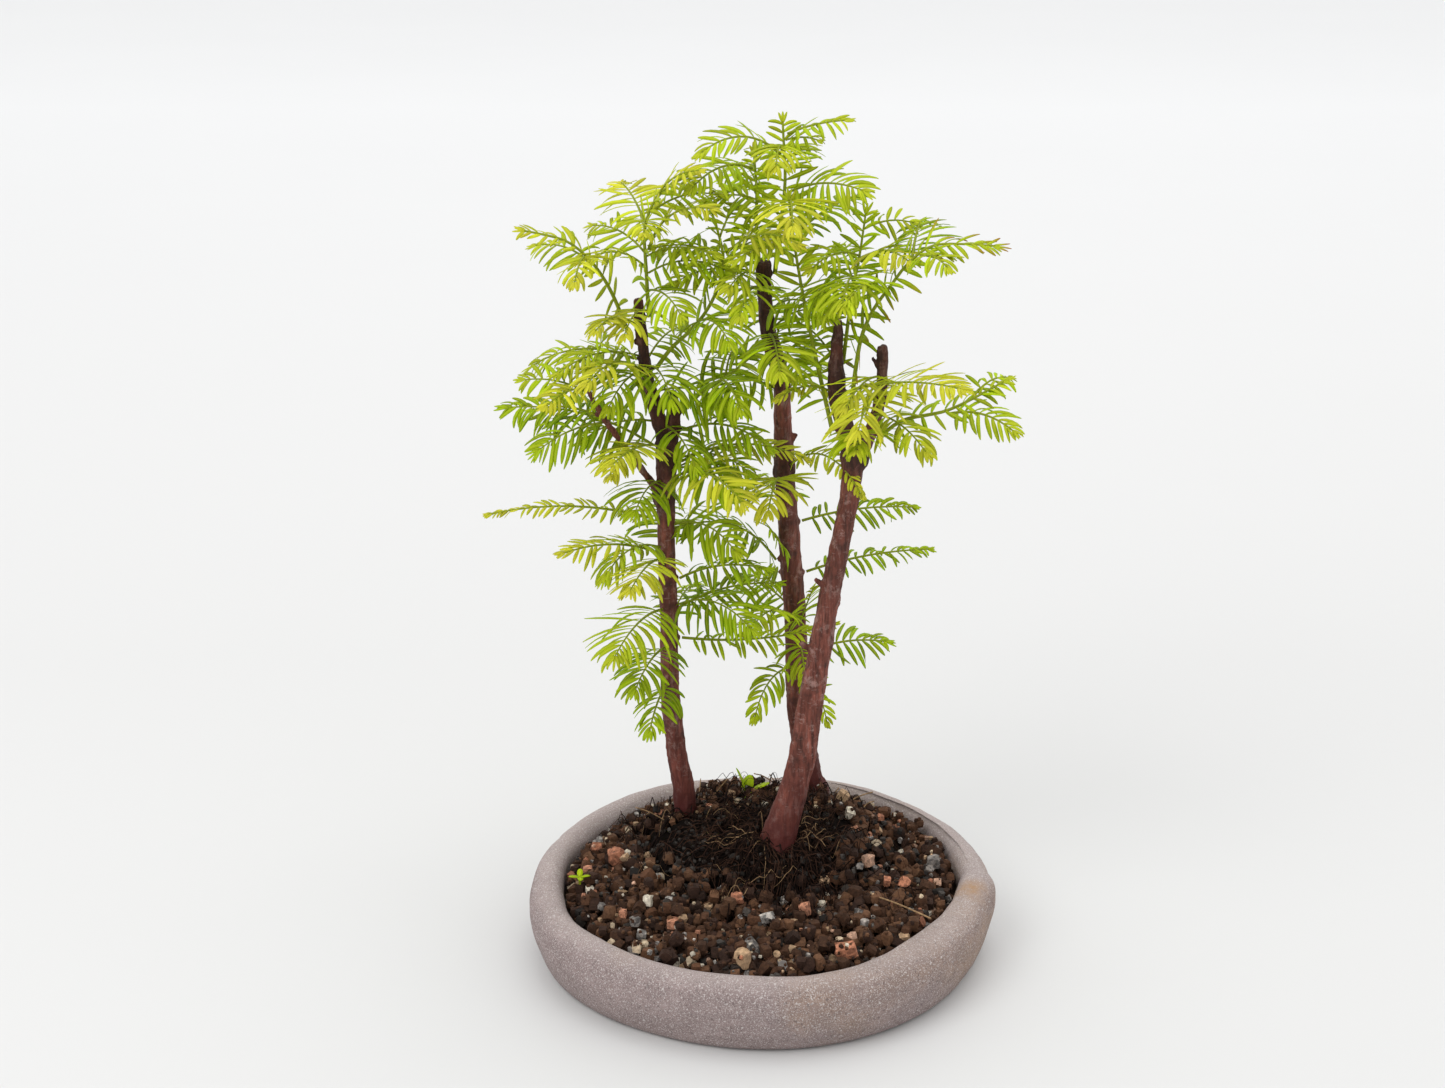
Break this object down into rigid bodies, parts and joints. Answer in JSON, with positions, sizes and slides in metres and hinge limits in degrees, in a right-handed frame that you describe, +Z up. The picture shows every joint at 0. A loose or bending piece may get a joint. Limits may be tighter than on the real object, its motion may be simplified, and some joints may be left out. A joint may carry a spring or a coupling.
{
  "type": "bonsai tree in a pot",
  "caption": "Dawn redwood forest bonsai: slender reddish trunks with feathery green and yellow sprays, in a round shallow stoneware dish with gritty soil.",
  "frame": {"origin": "centre of the dish's flat base", "axes": "+Z up, the way the trunks grow; -Y the front of the planting; +X to the viewer's right"},
  "size_m": [0.189, 0.1751, 0.31],
  "materials": {
    "stoneware": "matte, speckled",
    "mesh_plastic": "matte",
    "soil": "rough, granular",
    "peat": "rough, fibrous",
    "bark": "rough, flaking",
    "green_stem": "satin",
    "young_leaf": "satin",
    "fresh_leaf": "satin",
    "mature_leaf": "satin",
    "weed": "satin"
  },
  "bodies": {
    "root": {"dish": "stoneware", "drain_mesh": "mesh_plastic", "soil_bed": "soil", "root_ball": "peat", "trunk_left": "bark", "trunk_back": "bark", "trunk_front": "bark", "weed_seedling": "weed", "shoot_left_leader": "green_stem", "shoot_left_outer": "green_stem", "shoot_left_inner": "green_stem", "shoot_left_stub": "green_stem", "shoot_back_leader": "green_stem", "shoot_back_second": "green_stem", "shoot_front_tall": "green_stem", "shoot_front_mid": "green_stem", "shoot_front_right": "green_stem", "shoot_fork_right": "green_stem", "spray_low_long": "young_leaf", "spray_low_fan": "young_leaf", "spray_low_front": "young_leaf", "spray_cascade_top": "fresh_leaf", "spray_cascade_middle": "mature_leaf", "spray_cascade_low": "mature_leaf", "spray_right_upper": "mature_leaf", "spray_right_middle": "mature_leaf", "spray_right_long": "fresh_leaf", "spray_crown_left": "mature_leaf", "spray_crown_fan": "young_leaf", "spray_upper_fan": "young_leaf", "spray_upper_left": "fresh_leaf", "spray_top_yellow": "young_leaf", "spray_yellow_face": "young_leaf", "spray_yellow_arch": "young_leaf", "spray_branch_spray": "mature_leaf", "spray_stub_spray": "mature_leaf", "spray_leader_arch": "young_leaf", "spray_leader_back": "young_leaf", "spray_outer_face": "young_leaf", "spray_inner_arch": "young_leaf", "spray_leader_tip": "fresh_leaf", "spray_leader_left": "fresh_leaf", "spray_leader_right": "fresh_leaf", "spray_second_left": "fresh_leaf", "spray_back_fan": "fresh_leaf", "spray_back_face": "fresh_leaf", "spray_back_dark": "mature_leaf", "spray_back_front": "young_leaf", "spray_back_right_high": "mature_leaf", "spray_back_right_middle": "mature_leaf", "spray_back_right_low": "mature_leaf", "spray_tall_face": "young_leaf", "spray_tall_feather": "mature_leaf", "spray_mid_fan": "young_leaf", "spray_mid_front": "fresh_leaf", "spray_right_back": "mature_leaf", "spray_fork_long": "young_leaf", "spray_fork_face": "young_leaf", "spray_fork_low": "fresh_leaf", "spray_fork_side": "fresh_leaf"}
  },
  "joints": []
}
